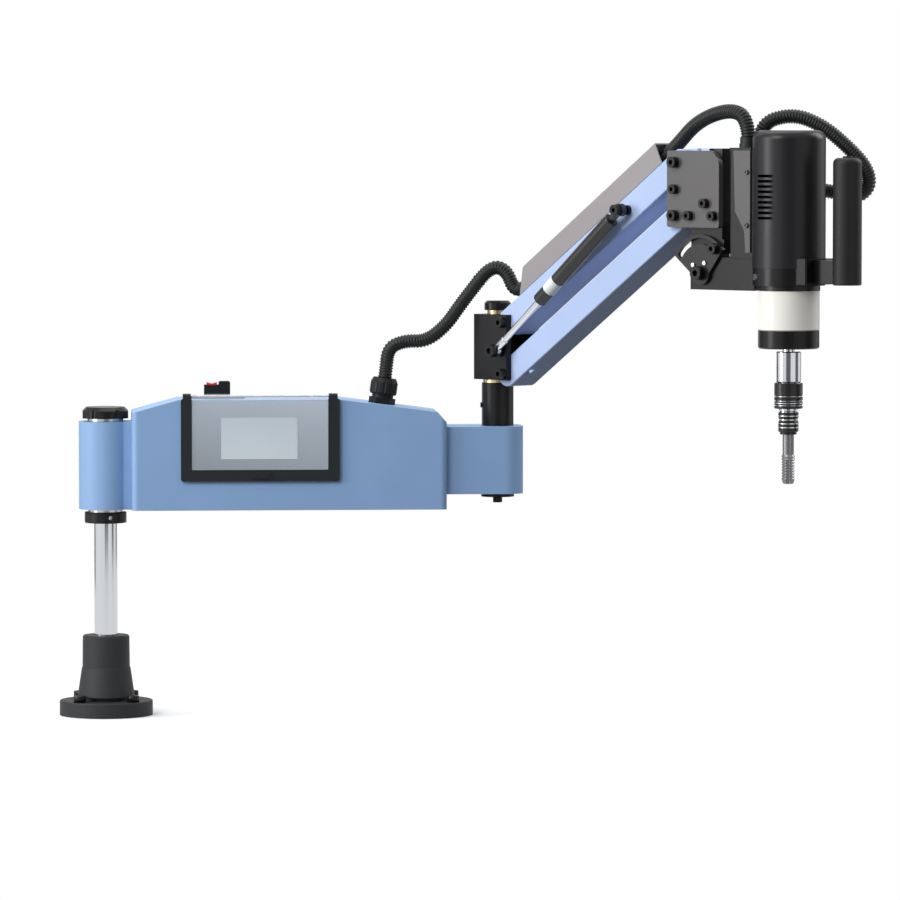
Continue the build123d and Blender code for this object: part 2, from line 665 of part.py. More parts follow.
def head_bracket():
    """A fork on the tilt bolt, a bar to the split clamp ring, and an upright housing
    for the motor's cables."""
    x0, z0, z1 = TILT_X, TILT_Z - TILT_RADIUS, TILT_Z + TILT_RADIUS
    half = CHEEK_INNER + GAP
    bar = block(x0, SPINDLE_X - 20, -half, half, z0, z1 - 1)
    bar += cross_pin(x0, TILT_Z, -half, half, TILT_RADIUS)
    bar += block(x0 - TILT_RADIUS, x0, -half, half, z0, TILT_Z)
    bar -= block(x0 - 40, x0 + 32, -12, 12, z0 - 1, z1 + 1)
    bar -= cross_pin(x0, TILT_Z, -60, 60, PIN_RADIUS + RUNNING_FIT)
    tower = block(498, 545, -30, 30, z1 - 1.5, 848)
    tower = fillet(tower.edges().filter_by(Axis.Z).sort_by(Axis.X)[:2], 3)
    tower -= block(503, 538, -26, 26, z1 + 10, 843)
    body = bar + tower
    body -= upright(SPINDLE_X, 0, CLAMP_TOP, 900, COVER_RADIUS + GAP)
    body -= upright(SPINDLE_X, 0, 600, CLAMP_BOTTOM, COVER_RADIUS - 2)
    body += upright(SPINDLE_X, 0, CLAMP_BOTTOM, CLAMP_TOP, COVER_RADIUS - 0.5)
    body -= upright(SPINDLE_X, 0, CLAMP_BOTTOM - 1, CLAMP_TOP + 1, CLAMP_BORE)
    slit = block(-60, -40, -1.2, 1.2, CLAMP_BOTTOM - 1, CLAMP_TOP + 1)
    slit = Pos(SPINDLE_X, 0, 0) * Rot(0, 0, 58) * slit
    return body - slit - clamp_screw_place() * Cylinder(4.5, 6)


def clamp_screw_place():
    ring_radius = COVER_RADIUS - 0.5
    return Pos(SPINDLE_X, 0, 668) * Rot(0, 0, 68) * Pos(-ring_radius, 0, 0) * Rot(0, -90, 0)


def clamp_screw():
    """The screw across the clamp ring's slit."""
    key = Pos(0, 0, 3) * extrude(RegularPolygon(2.2, 6), 2, both=True)
    return clamp_screw_place() * (Cylinder(4.5, 6) - key)


def side_covers():
    """The grey plates that close the upright housing on both sides, and their screws."""
    shape = outline([(508, 848), (540, 848), (540, 702), (531, 702), (529, 733), (511, 761)])
    covers = []
    for side, y0, y1 in ((-1, -32.5, -30), (1, 30, 32.5)):
        covers.append(side_slab(shape, y0, y1))
        for z in (817, 741):
            covers.append(socket_screw(534, z, side * 32.5, side, 3.6, 3, 0.5, 0.1))
    return Compound(children=covers)


def tower_cap():
    """The lid of the upright housing, with a port for each conduit."""
    cap = block(497, 540, -31, 31, 848, 852)
    cap = fillet(cap.edges().filter_by(Axis.Z).sort_by(Axis.X)[:2], 4)
    for x, y in (PORT_UPPER, PORT_HEAD):
        cap += upright(x, y, 852, 858, 13.5) + upright(x, y, 858, 867, 12.4)
        cap -= upright(x, y, 853, 870, CONDUIT_CREST + 0.2)
    return cap - upright(SPINDLE_X, 0, 800, 900, COVER_RADIUS + GAP)


def motor_cover():
    """A spun can over the motor, with nine vent slots on each side."""
    shell = upright(SPINDLE_X, 0, CLAMP_TOP + 0.2, COVER_TOP, COVER_RADIUS)
    shell = fillet(shell.edges().filter_by(GeomType.CIRCLE).sort_by(Axis.Z)[-1], 13)
    shell -= upright(SPINDLE_X, 0, CLAMP_TOP, COVER_TOP - 16, COVER_RADIUS - 2.5)
    for step in range(9):
        z = 752 + step * 7.5
        slot = block(SPINDLE_X - 15, SPINDLE_X + 15, -70, 70, z - 2, z + 2)
        slot = fillet(slot.edges().filter_by(Axis.Y), 1.9)
        shell -= slot
    return shell


def servo_motor():
    """The motor inside the cover, on the flange that the clamp ring grips."""
    flange = upright(SPINDLE_X, 0, CLAMP_BOTTOM, CLAMP_TOP, CLAMP_BORE)
    body = block(SPINDLE_X - 33, SPINDLE_X + 33, -33, 33, CLAMP_TOP, 838)
    return flange + chamfer(body.edges().filter_by(Axis.Z), 5)


def motor_plug():
    """The angled connector on the back of the cover where the head conduit ends."""
    body = block(40, PLUG_MOUTH - 4, -22, 13, MOTOR_PLUG_Z - 14, MOTOR_PLUG_Z + 14)
    body = fillet(body.edges().filter_by(Axis.Z).sort_by(Axis.Y)[-2:], 5)
    mouth = Pos(PLUG_MOUTH - 5, 0, MOTOR_PLUG_Z) * Rot(0, 90, 0)
    body += mouth * Cylinder(13, 10)
    body -= Pos(PLUG_MOUTH, 0, MOTOR_PLUG_Z) * Rot(0, 90, 0) * Cylinder(CONDUIT_CREST + 0.5, 8)
    return behind_head() * body - upright(SPINDLE_X, 0, 700, 900, COVER_RADIUS)


def gearbox():
    """The planetary gearbox: a black flange, then the pale case."""
    flange = upright(SPINDLE_X, 0, 648, CLAMP_BOTTOM, CLAMP_BORE)
    case = upright(SPINDLE_X, 0, 591, 648, 44.3)
    case = chamfer(case.edges().filter_by(GeomType.CIRCLE).sort_by(Axis.Z)[0], 1.5)
    return flange + case


def output_ring():
    body = upright(SPINDLE_X, 0, 565, 591, 44)
    body = chamfer(body.edges().filter_by(GeomType.CIRCLE).sort_by(Axis.Z)[0], 2)
    return body - upright(SPINDLE_X, 0, 560, 575, 20)


def handle_bracket():
    """The block on the head's outer side, with a neck out to the handle."""
    pad = block(622, 646, -31, 31, 657.5, 694.5)
    pad = fillet(pad.edges().filter_by(Axis.Z).sort_by(Axis.X)[-2:], 3)
    neck = block(645, HANDLE_X, -13, 13, 659, 693)
    body = pad + neck + upright(HANDLE_X, 0, 657.5, 694.5, 18)
    body -= upright(SPINDLE_X, 0, CLAMP_TOP, 700, COVER_RADIUS + GAP)
    return body - upright(SPINDLE_X, 0, 650, CLAMP_TOP + 1, COVER_RADIUS - 0.4)


def handle_grip():
    """A moulded grip with finger waves on its inner side."""
    grip = upright(HANDLE_X, 0, 657.5, 838, 20.6)
    grip = fillet(grip.edges().filter_by(GeomType.CIRCLE).sort_by(Axis.Z)[-1], 8)
    grip = chamfer(grip.edges().filter_by(GeomType.CIRCLE).sort_by(Axis.Z)[0], 1.5)
    for step in range(4):
        z = 708 + step * 20
        grip -= cross_pin(HANDLE_X - 31.5, z, -40, 40, 13.5)
    grip -= block(HANDLE_X - 30, HANDLE_X, -13.2, 13.2, 650, 693.2)
    grip -= upright(HANDLE_X, 0, 650, 694.5, 18)
    return grip - upright(HANDLE_X, 0, 828, 840, 7)


def thumb_button():
    """The start button in the top of the grip."""
    button = upright(HANDLE_X, 0, 831.5, 840.5, 6.8)
    return fillet(button.edges().filter_by(GeomType.CIRCLE).sort_by(Axis.Z)[-1], 1)


# ---------------------------------------------------------------- spindle


def chuck_body():
    """The quick-change chuck: shaft, body, and the neck that the sleeve slides on."""
    profile = [
        (0, 574.5), (9, 574.5), (9, 561), (16.5, 561), (18, 559.5), (18, 518), (17, 516.5),
        (14, 516.5), (14, 477), (12.5, 475), (0, 475),
    ]
    return turned(profile, SPINDLE_X)


def chuck_sleeve():
    profile = [(14.3, 479), (19.5, 479), (20.5, 480)]
    for z in (482.5, 489, 495.5):
        profile += [(20.5, z), (19.3, z + 1.2), (20.5, z + 2.4)]
    profile += [(20.5, 515), (19.7, 516), (14.3, 516)]
    return turned(profile, SPINDLE_X)


def tap_adapter():
    profile = [
        (0, 475), (12.5, 475), (14.6, 473.5), (14.6, 466), (13.6, 465), (13.6, 461), (14.6, 460),
        (14.6, 447), (13.5, 445.5), (12, 445.5), (12, 442), (0, 442),
    ]
    return turned(profile, SPINDLE_X)


def tap():
    """A machine tap: shank, then a threaded part cut by four straight flutes."""
    pitch = 4
    profile = [(0, 442), (8.2, 442), (8.2, 413), (9.8, 410)]
    for step in range(8):
        z = 410 - step * pitch
        profile += [(8.6, z - pitch / 2), (9.8, z - pitch)]
    profile += [(8, 372), (6.6, 371), (0, 371)]
    body = turned(profile, SPINDLE_X)
    for turn in range(0, 360, 90):
        offset = Rot(0, 0, turn + 45) * Pos(9.6, 0, 0)
        body -= Pos(SPINDLE_X, 0, 0) * offset * upright(0, 0, 365, 405, 3.1)
    return body


# ---------------------------------------------------------------- conduits


def conduit(points):
    """A hose with its bore, along straight runs joined by the largest arcs they allow."""
    points = [Vector(*point) for point in points]
    radii = []
    for before, corner, after in zip(points, points[1:], points[2:]):
        run = min((corner - before).length, (after - corner).length)
        turn = radians((corner - before).get_angle(after - corner))
        radii.append(0.45 * run / tan(turn / 2))
    line = FilletPolyline(*points, radius=radii)
    wall = Circle(CONDUIT_CREST) - Circle(CONDUIT_BORE)
    hose = sweep(Plane(origin=line @ 0, z_dir=line % 0) * wall, path=line)
    share = hose.volume / (wall.area * line.length)
    print(f"conduit: {line.length:.0f} mm, radii {[round(r) for r in radii]}, volume {share:.3f}")
    return hose


def on_arm(*place):
    """A place in the arm's own frame, as the machine's coordinates."""
    return tuple((ARM_PLACE * Pos(*place)).position)


def over_beam(along, above):
    """A place over the upper beam's middle line, as the machine's coordinates."""
    return tuple((ARM_PLACE * along_beam(UPPER_PIN_Z) * Pos(along, 0, above)).position)


# Where the lower conduit's two halves meet, above the elbow nut
ELBOW_SPLIT = (561, -12.5, 651.5)
# Where the upper conduit's two halves meet, above the head carrier, in the arm's frame
CARRIER_SPLIT_POINT = (447, -7, 899.5)


def lower_conduit():
    """From the gland on the box up to the elbow."""
    foot = tuple((gland_place() * Pos(0, 0, 27)).position)
    points = [foot, (421.5, 0, 517), (425, 0, 550), (450, -1, 561), (482, -3, 560)]
    points += [(512, -6, 584), (535, -9, 618), ELBOW_SPLIT]
    return conduit(points)


def elbow_conduit():
    """From the elbow over its peak and down into the cable cover on the upper beam."""
    points = [ELBOW_SPLIT, (577.64, -14.74, 672.94), (601, -24, 669), on_arm(40, -4, 634)]
    return conduit([*points, over_beam(58, 31), over_beam(92, 31.5)])


def beam_conduit():
    """From the cable cover's upper end to above the head carrier."""
    points = [over_beam(362, 34), over_beam(410, 35), on_arm(412, -4, 891)]
    return conduit([*points, on_arm(*CARRIER_SPLIT_POINT)])


def carrier_conduit():
    """From above the head carrier down into the upright housing on the head."""
    points = [on_arm(*CARRIER_SPLIT_POINT), on_arm(482, -10, 908), on_arm(*PORT_UPPER, 893)]
    return conduit([*points, on_arm(*PORT_UPPER, 853.5)])


def behind_head():
    """An upright plane that passes behind the motor cover; the head conduit lies in it."""
    return Location((PORT_HEAD[0], PORT_HEAD[1], 0), (0, 0, LOOP_TURN))


def head_conduit():
    """The loop behind the head, from the upright housing to the motor's plug."""
    outline_points = [(0, 853.5), (0, 886), (48, 901), (92, 884), (130, 852), (157, 822)]
    outline_points += [(161, 795), (140, 779), (100, 791.5), (PLUG_MOUTH - 3, MOTOR_PLUG_Z)]
    loop = conduit([(across, 0, height) for across, height in outline_points])
    return ARM_PLACE * behind_head() * loop


# ---------------------------------------------------------------- all the pieces

STANDING = [
    base_casting, column, support_collar, collar_screw, column_washers,
    column_cap_nut, arm_housing, rear_cover, drive_unit, barrel_bushes,
    screen_frame, lid_hinge_pin, clear_lid, touch_panel, display, switch_plate,
    switch_housing, rocker, cable_gland, elbow_post, elbow_shaft, elbow_rings,
    elbow_nut, elbow_foot, lower_conduit, elbow_conduit, beam_conduit, carrier_conduit,
    head_conduit,
]
ON_THE_ARM = [
    pivot_block, block_bolts, upper_beam, lower_beam, cable_cover, gas_upper_stud,
    gas_cylinder, gas_rod, carrier_plates, carrier_block, tilt_lug, carrier_bolts,
    tilt_bolts, sector_plate, sector_screws, head_bracket, clamp_screw, side_covers,
    tower_cap, motor_cover, servo_motor, motor_plug, gearbox, output_ring,
    handle_bracket, handle_grip, thumb_button, chuck_body, chuck_sleeve, tap_adapter, tap,
]


def main():
    os.makedirs("parts", exist_ok=True)
    for make in STANDING:
        save(make(), make.__name__)
    for make in ON_THE_ARM:
        save(make(), make.__name__, arm=True)


main()
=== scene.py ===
# %% [markdown]
# # An arm tapping machine
# The machine stands on a cast foot. A control arm swivels on its column, a lifting
# parallelogram arm swivels on that, and a servo head hangs at the far end.
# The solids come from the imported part. This script gives them their finishes, adds the
# ribbed conduits and the hold-down bolts, and sets up the light and the camera.

import json
from math import cos, pi, radians, sin

import bpy
import numpy as np
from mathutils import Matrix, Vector


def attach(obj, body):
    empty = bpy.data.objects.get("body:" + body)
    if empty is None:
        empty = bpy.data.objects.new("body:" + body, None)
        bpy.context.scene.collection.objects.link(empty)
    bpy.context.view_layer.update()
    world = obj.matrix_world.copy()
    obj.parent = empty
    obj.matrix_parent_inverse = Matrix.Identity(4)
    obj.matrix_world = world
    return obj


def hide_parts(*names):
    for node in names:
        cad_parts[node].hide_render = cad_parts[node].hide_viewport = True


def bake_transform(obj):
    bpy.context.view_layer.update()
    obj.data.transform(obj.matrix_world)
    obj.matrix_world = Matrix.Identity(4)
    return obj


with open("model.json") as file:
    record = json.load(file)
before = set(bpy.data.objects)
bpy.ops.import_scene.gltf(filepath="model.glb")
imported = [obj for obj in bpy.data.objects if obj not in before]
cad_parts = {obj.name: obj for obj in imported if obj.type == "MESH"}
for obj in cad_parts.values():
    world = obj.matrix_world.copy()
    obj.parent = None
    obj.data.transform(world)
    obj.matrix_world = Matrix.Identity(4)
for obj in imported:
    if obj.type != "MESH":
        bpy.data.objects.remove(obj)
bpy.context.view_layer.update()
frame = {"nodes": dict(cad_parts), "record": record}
print("nodes:", len(frame["nodes"]))

# %% [markdown]
# ## Shader maths
# A finish is a formula over the surface, such as "paint colour times a little noise".
# Drawing that with nodes takes many calls, so one small class wraps an output socket
# and adds the Math node that an operator stands for.


# %% A socket with operators
class Value:
    """A number that varies over a surface. Operators add Math nodes to its tree."""

    def __init__(self, tree, socket):
        self.tree, self.socket = tree, socket

    def math(self, operation, *others):
        node = self.tree.nodes.new("ShaderNodeMath")
        node.operation = operation
        for slot, value in zip(node.inputs, (self, *others)):
            plug(self.tree, slot, value)
        return Value(self.tree, node.outputs[0])

    def __add__(self, other):
        return self.math("ADD", other)

    def __sub__(self, other):
        return self.math("SUBTRACT", other)

    def __rsub__(self, other):
        return (self * -1.0) + other

    def __mul__(self, other):
        return self.math("MULTIPLY", other)

    def __gt__(self, other):
        return self.math("GREATER_THAN", other)

    def __lt__(self, other):
        return self.math("LESS_THAN", other)


def plug(tree, slot, value):
    """Links a Value to an input, or sets the input to a constant."""
    if isinstance(value, Value):
        tree.links.new(value.socket, slot)
    else:
        slot.default_value = value


class Surface:
    """A material in the making: its node tree, its coordinates and its shader."""

    def __init__(self, name):
        self.material = bpy.data.materials.new(name)
        self.material.use_nodes = True
        self.tree = self.material.node_tree
        self.shader = self.tree.nodes["Principled BSDF"]
        coordinates = self.tree.nodes.new("ShaderNodeTexCoord")
        self.place = Value(self.tree, coordinates.outputs["Object"])

    def node(self, kind, settings=None, **inputs):
        """Adds any node: first its settings, then the values or links of its inputs."""
        node = self.tree.nodes.new(kind)
        for key, value in (settings or {}).items():
            setattr(node, key, value)
        for key, value in inputs.items():
            plug(self.tree, node.inputs[key.replace("_", " ")], value)
        return node

    def noise(self, scale, detail=3.0):
        node = self.node("ShaderNodeTexNoise", Vector=self.place, Scale=scale, Detail=detail)
        return Value(self.tree, node.outputs[0])

    def axes(self):
        node = self.node("ShaderNodeSeparateXYZ", Vector=self.place)
        return [Value(self.tree, out) for out in node.outputs]

    def along(self, axis):
        """How far a place lies along an axis through the origin."""
        node = self.node("ShaderNodeVectorMath", {"operation": "DOT_PRODUCT"})
        plug(self.tree, node.inputs[0], self.place)
        node.inputs[1].default_value = axis
        return Value(self.tree, node.outputs["Value"])

    def mix(self, factor, first, second):
        """A blend of two colours, each a constant or a Value."""
        node = self.node("ShaderNodeMix", {"data_type": "RGBA"})
        plug(self.tree, node.inputs[0], factor)
        plug(self.tree, node.inputs[6], first)
        plug(self.tree, node.inputs[7], second)
        return Value(self.tree, node.outputs[2])

    def set(self, **inputs):
        for key, value in inputs.items():
            plug(self.tree, self.shader.inputs[key.replace("_", " ")], value)

    def bump(self, height, distance):
        node = self.node("ShaderNodeBump", Height=height, Distance=distance, Strength=0.6)
        self.set(Normal=Value(self.tree, node.outputs[0]))


def seen_rays(tree):
    """1 for the rays that look at a thing or mirror it, and 0 for those that light others."""
    rays = tree.nodes.new("ShaderNodeLightPath")
    seen = Value(tree, rays.outputs["Is Camera Ray"])
    for kind in ("Is Glossy Ray", "Is Transmission Ray"):
        seen = seen.math("MAXIMUM", Value(tree, rays.outputs[kind]))
    return seen


def shade(colour, factor):
    """A linear colour made lighter or darker."""
    return (*[min(1.0, channel * factor) for channel in colour[:3]], 1.0)


print("shader helpers ready")

# %% [markdown]
# ## Finishes
# Nearly everything here is painted, plated or moulded, and those differ in colour,
# roughness and grain. One function covers them: a low noise makes the colour and the
# roughness uneven, and a fine one gives the paint its orange peel.


# %% One finish from a few numbers
def finish(
    name, colour, rough, metal=0.0, coat=0.0, grain=900.0, depth=0.00003, vary=0.06, shine=0.5
):
    """One material. grain is the fine noise's scale, and depth its bump in metres.

    Both noises are about 0.5 on average, so the roughness is about rough on average.
    """
    surface = Surface(name)
    patches = surface.noise(14.0)
    fine = surface.noise(grain, 2.0)
    surface.set(
        Base_Color=surface.mix(patches, shade(colour, 1 - vary), shade(colour, 1 + vary)),
        Roughness=fine * 0.08 + patches * 0.06 + (rough - 0.07),
        Metallic=metal,
        Coat_Weight=coat,
        Specular_IOR_Level=shine,
    )
    if depth:
        surface.bump(fine, depth)
    return surface.material


looks = {
    "cast_iron": finish(
        "cast_iron", (0.019, 0.021, 0.024), 0.60, grain=500.0, depth=0.0002, shine=0.3
    ),
    "chrome": finish("chrome", (0.62, 0.635, 0.655), 0.10, metal=1.0, depth=0.0, vary=0.02),
    "black": finish("black", (0.006, 0.006, 0.007), 0.32, coat=0.05, shine=0.2),
    "blue": finish("blue", (0.225, 0.365, 0.600), 0.45, shine=0.35),
    "beam_blue": finish("beam_blue", (0.430, 0.535, 0.780), 0.46, shine=0.08),
    # Painted light: the grey slot's parts are black, painted in the lighter grey of their lit
    # sides
    "grey": finish("grey", (0.072, 0.068, 0.070), 0.42, shine=0.4),
    # Painted sheen: the cable duct is dark grey to black, painted lighter to stand in for the
    # sheen on its face
    "duct": finish("duct", (0.270, 0.250, 0.255), 0.42, shine=0.4),
    "charcoal": finish("charcoal", (0.012, 0.012, 0.014), 0.34, shine=0.25),
    "white": finish("white", (0.860, 0.845, 0.790), 0.38, coat=0.15, vary=0.03),
    "steel": finish("steel", (0.50, 0.51, 0.53), 0.24, metal=1.0, grain=1500.0),
    "tap": finish("tap", (0.20, 0.20, 0.21), 0.36, metal=1.0, grain=1500.0),
    "brass": finish("brass", (0.62, 0.50, 0.26), 0.30, metal=1.0),
    "frame": finish("frame", (0.010, 0.013, 0.015), 0.48, shine=0.25),
    "switch": finish("switch", (0.007, 0.007, 0.008), 0.45, shine=0.2),
    "red": finish("red", (0.550, 0.020, 0.015), 0.30),
    "conduit": finish("conduit", (0.007, 0.009, 0.008), 0.42, shine=0.3),
    "grip": finish("grip", (0.009, 0.009, 0.010), 0.50, grain=700.0, depth=0.0001, shine=0.25),
    "inner": finish("inner", (0.45, 0.46, 0.48), 0.45, metal=1.0),
}
print("finishes:", len(looks))

# %% [markdown]
# The lid is a thin clear plastic. It is mostly transparent, with a faint reflection, and a
# low alpha costs less light than real glass would.

# %% The clear lid
lid = Surface("lid")
lid.set(Base_Color=(0.90, 0.94, 0.97, 1.0), Roughness=lid.noise(60.0) * 0.04 + 0.06, Alpha=0.16)
looks["lid"] = lid.material

# %% [markdown]
# The panel is a blue-grey sheet with painted light: darkest at its lower left, and lighter
# upwards and rightwards. The display in it is switched off, a plain pale glass with painted
# shade that makes it a little darker towards its top.

# %% The panel and its display
panel = Surface("panel")
panel_x, _, panel_z = panel.axes()
PANEL_DARK_X, PANEL_DARK_Z = 0.128, 0.371  # painted light: darkest here, and painted lighter upwards and rightwards
panel_painted_light = (panel_z - PANEL_DARK_Z) * 6.5 + (panel_x - PANEL_DARK_X) * 1.6
panel.set(Base_Color=panel.mix(panel_painted_light, (0.085, 0.130, 0.190, 1), (0.400, 0.475, 0.570, 1)))
panel.set(Roughness=panel.noise(40.0) * 0.06 + 0.3)
looks["panel"] = panel.material

display = Surface("display")
_, _, display_z = display.axes()
DISPLAY_PALE_Z = 0.387  # palest here and below; painted shade darkens it above
display_painted_shade = (display_z - DISPLAY_PALE_Z) * 16.0
display.set(
    Base_Color=display.mix(display_painted_shade, (0.62, 0.70, 0.76, 1), (0.50, 0.59, 0.67, 1)),
    Roughness=display.noise(30.0) * 0.05 + 0.16,
)
looks["display"] = display.material
print("panel and display ready")

# %% [markdown]
# The gas spring's cylinder is black with one plain white band. The band is where the
# distance along the cylinder's own axis lies between two values, and that distance is
# the dot product of the place and the axis.

# %% The gas spring
ARM_TURN = radians(-49)
ELBOW = np.array([0.590, 0.0, 0.0])
LINK_ANGLE = radians(34.4)
PIN = np.array([0.0445, 0.0, 0.590])
BAND_START, BAND_END = 0.145, 0.168


def from_arm(x, y, z):
    """A point given along the arm's own axes, in metres, put in the machine's frame."""
    return ELBOW + np.array(
        [x * cos(ARM_TURN) - y * sin(ARM_TURN), x * sin(ARM_TURN) + y * cos(ARM_TURN), z]
    )


def on_beam(along, above, y=0.0):
    """A point on the upper beam: so far along it and above its middle line."""
    x = PIN[0] + along * cos(LINK_ANGLE) - above * sin(LINK_ANGLE)
    z = PIN[2] + along * sin(LINK_ANGLE) + above * cos(LINK_ANGLE)
    return from_arm(x, y, z)


gas_low = from_arm(0.038, -0.043, 0.548)
gas_high = on_beam(0.302, 0.0, -0.043)
gas_way = (gas_high - gas_low) / np.linalg.norm(gas_high - gas_low)

gas = Surface("gas_cylinder")
reach = gas.along(gas_way) - float(gas_low @ gas_way)
band = (reach > BAND_START) * (reach < BAND_END)
gas.set(
    Base_Color=gas.mix(band, (0.012, 0.012, 0.013, 1), (0.72, 0.73, 0.74, 1)),
    Roughness=band * 0.15 + 0.25,
)
looks["gas"] = gas.material
print("gas spring length:", round(float(np.linalg.norm(gas_high - gas_low)), 4))

# %% [markdown]
# Some pieces have two colours on one solid. The gearbox is black above its pale case, the
# chuck's sleeve and the adapter have bright rings on a dark body, and the block between
# the carrier's plates is blue only at its left. Each is a mask made from the place.


# %% Pieces with two colours
def two_colours(name, mask_of, first, second, rough=0.34, metal=0.0):
    """Two colours, the second where the mask is 1. metal is how metallic the second is."""
    surface = Surface(name)
    mask = mask_of(surface)
    patches = surface.noise(20.0)
    surface.set(
        Base_Color=surface.mix(mask, (*first, 1.0), (*second, 1.0)),
        Roughness=patches * 0.08 + (rough - 0.04),
        Metallic=mask * metal,
        Specular_IOR_Level=0.3,
    )
    looks[name] = surface.material


def above(height):
    return lambda surface: surface.axes()[2] > height


def ring_mask(*spans):
    """A mask that is 1 where the height lies in one of the spans."""

    def mask(surface):
        height = surface.axes()[2]
        total = 0.0
        for low, high in spans:
            total = (height > low) * (height < high) + total
        return total

    return mask


def beyond(along):
    """A mask that is 1 further along the lifting arm than this distance from the elbow."""

    def mask(surface):
        arm_way = (cos(ARM_TURN), sin(ARM_TURN), 0)
        return surface.along(arm_way) > along + ELBOW[0] * cos(ARM_TURN)

    return mask


BRIGHT, DARK = (0.62, 0.63, 0.65), (0.018, 0.018, 0.019)
two_colours("gearbox", above(0.648), (0.860, 0.845, 0.790), (0.007, 0.007, 0.008))
two_colours("carrier_block", beyond(0.455), (0.430, 0.540, 0.800), (0.008, 0.008, 0.009))
sleeve_rings = [(z, z + 0.001) for z in (0.4832, 0.4865, 0.4897, 0.4962)]
adapter_rings = [(z, z + 0.0013) for z in (0.4515, 0.4570, 0.4625, 0.4680, 0.4735)]
two_colours("chuck_sleeve", ring_mask(*sleeve_rings), DARK, BRIGHT, 0.25, 1.0)
two_colours("tap_adapter", ring_mask(*adapter_rings), DARK, BRIGHT, 0.25, 1.0)
print("pieces with two colours: 4")

# %% [markdown]
# Each node's finish is its slot in the record, so the table below is read from there.
# A few nodes of one slot look different in the photograph and are named on their own.

# %% Dress the nodes
own_look = {
    "gas_cylinder": "gas", "pivot_block": "black", "sector_plate": "charcoal", "tap": "tap",
}
for name in ("gearbox", "carrier_block", "chuck_sleeve", "tap_adapter"):
    own_look[name] = name
for part in frame["record"]["subparts"]:
    node = frame["nodes"][part["node"]]
    material = looks[own_look.get(part["node"], part["material_slot"])]
    node.data.materials.clear()
    node.data.materials.append(material)

# %% [markdown]
# ## Conduits
# A ribbed conduit is a tube whose radius rises and falls along its length. Its line is a
# smooth spline pulled by the same few points that the tube in the solid model follows.
# The spline is cut into equal steps, rings of points are set square to it, and their
# radius follows the ribs.


# %% The line of a conduit
def spline_line(name, points, spacing):
    """Points at equal steps along a NURBS curve whose control points are the route's."""
    curve = bpy.data.curves.new(name, "CURVE")
    curve.dimensions = "3D"
    curve.resolution_u = 24
    spline = curve.splines.new("NURBS")
    spline.points.add(len(points) - 1)
    for control, point in zip(spline.points, points):
        control.co = (*point, 1.0)
    spline.order_u = 3
    spline.use_endpoint_u = True
    holder = bpy.data.objects.new(name, curve)
    mesh = bpy.data.meshes.new_from_object(holder)
    fine = np.array([vertex.co for vertex in mesh.vertices])
    bpy.data.objects.remove(holder)
    bpy.data.meshes.remove(mesh)
    bpy.data.curves.remove(curve)
    gone = np.concatenate([[0], np.cumsum(np.linalg.norm(np.diff(fine, axis=0), axis=1))])
    steps = np.linspace(0, gone[-1], round(gone[-1] / spacing) + 1)
    return np.stack([np.interp(steps, gone, fine[:, k]) for k in range(3)], 1), steps


def grid_piece(name, rings, material, closed_ends=False):
    """A mesh from rings of points, each joined to the next, with outward faces."""
    count, sides = rings.shape[:2]
    i = np.arange(count - 1)[:, None] * sides
    j = np.arange(sides)[None, :]
    nxt = (j + 1) % sides
    faces = np.stack([i + j, i + nxt, i + sides + nxt, i + sides + j], -1).reshape(-1, 4)
    faces = faces.tolist()
    if closed_ends:
        faces.append(list(range(sides))[::-1])
        faces.append([(count - 1) * sides + k for k in range(sides)])
    mesh = bpy.data.meshes.new(name)
    mesh.from_pydata(rings.reshape(-1, 3).tolist(), [], faces)
    mesh.shade_smooth()
    mesh.materials.append(material)
    piece = bpy.data.objects.new(name, mesh)
    bpy.context.scene.collection.objects.link(piece)
    return piece


RIB_PITCH = 0.0043
CREST, VALLEY = 0.0106, 0.0094
STEPS_PER_RIB = 8
TUBE_SIDES = 28
ARM_SIDE = (0.75, 0.66, 0)  # level, and about square to the lifting arm


def conduit(name, points, steady, node):
    """A ribbed tube: radius = valley + (crest - valley) * clip(0.5 + 1.1 sin(2 pi s / pitch)).

    steady is the direction that the first side of every ring keeps closest to.
    """
    line, gone = spline_line(name, points, RIB_PITCH / STEPS_PER_RIB)
    way = np.gradient(line, axis=0)
    way /= np.linalg.norm(way, axis=1)[:, None]
    steady = np.array(steady, float)
    side = steady - way * (way @ steady)[:, None]
    side /= np.linalg.norm(side, axis=1)[:, None]
    top = np.cross(way, side)
    swell = np.clip(0.5 + 1.1 * np.sin(2 * pi * gone / RIB_PITCH), 0, 1)
    radius = (VALLEY + (CREST - VALLEY) * swell)[:, None, None]
    turn = np.linspace(0, 2 * pi, TUBE_SIDES, endpoint=False)[None, :, None]
    rings = line[:, None] + radius * (np.cos(turn) * side[:, None] + np.sin(turn) * top[:, None])
    piece = grid_piece(name, rings, looks["conduit"])
    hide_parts(node)
    print(name, "length", round(float(gone[-1]), 3), "faces", len(piece.data.polygons))
    return piece, line, float(gone[-1])


# %% [markdown]
# The lower conduit leaves the gland, climbs over the elbow and goes into the cable
# cover. It crosses two joints, so it is two pieces that meet above the elbow nut, and
# each runs across one joint. Both legs at that meeting point lie in one line.

# %% The lower conduit
elbow_split = (0.561, -0.0125, 0.6515)
lower_points = [
    (0.41854, 0, 0.49339), (0.4215, 0, 0.517), (0.425, 0, 0.550), (0.450, -0.001, 0.561),
    (0.482, -0.003, 0.560), (0.512, -0.006, 0.584), (0.535, -0.009, 0.618), elbow_split,
]
lower_hose, lower_line, lower_length = conduit(
    "lower_hose", lower_points, (0, 1, 0), "lower_conduit"
)
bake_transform(lower_hose)

elbow_points = [
    elbow_split, (0.57764, -0.01474, 0.67294), (0.601, -0.024, 0.669),
    from_arm(0.040, -0.004, 0.634), on_beam(0.058, 0.031), on_beam(0.092, 0.0315),
]
elbow_hose, _, _ = conduit("elbow_hose", elbow_points, (0.2, 1, 0), "elbow_conduit")
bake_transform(elbow_hose)

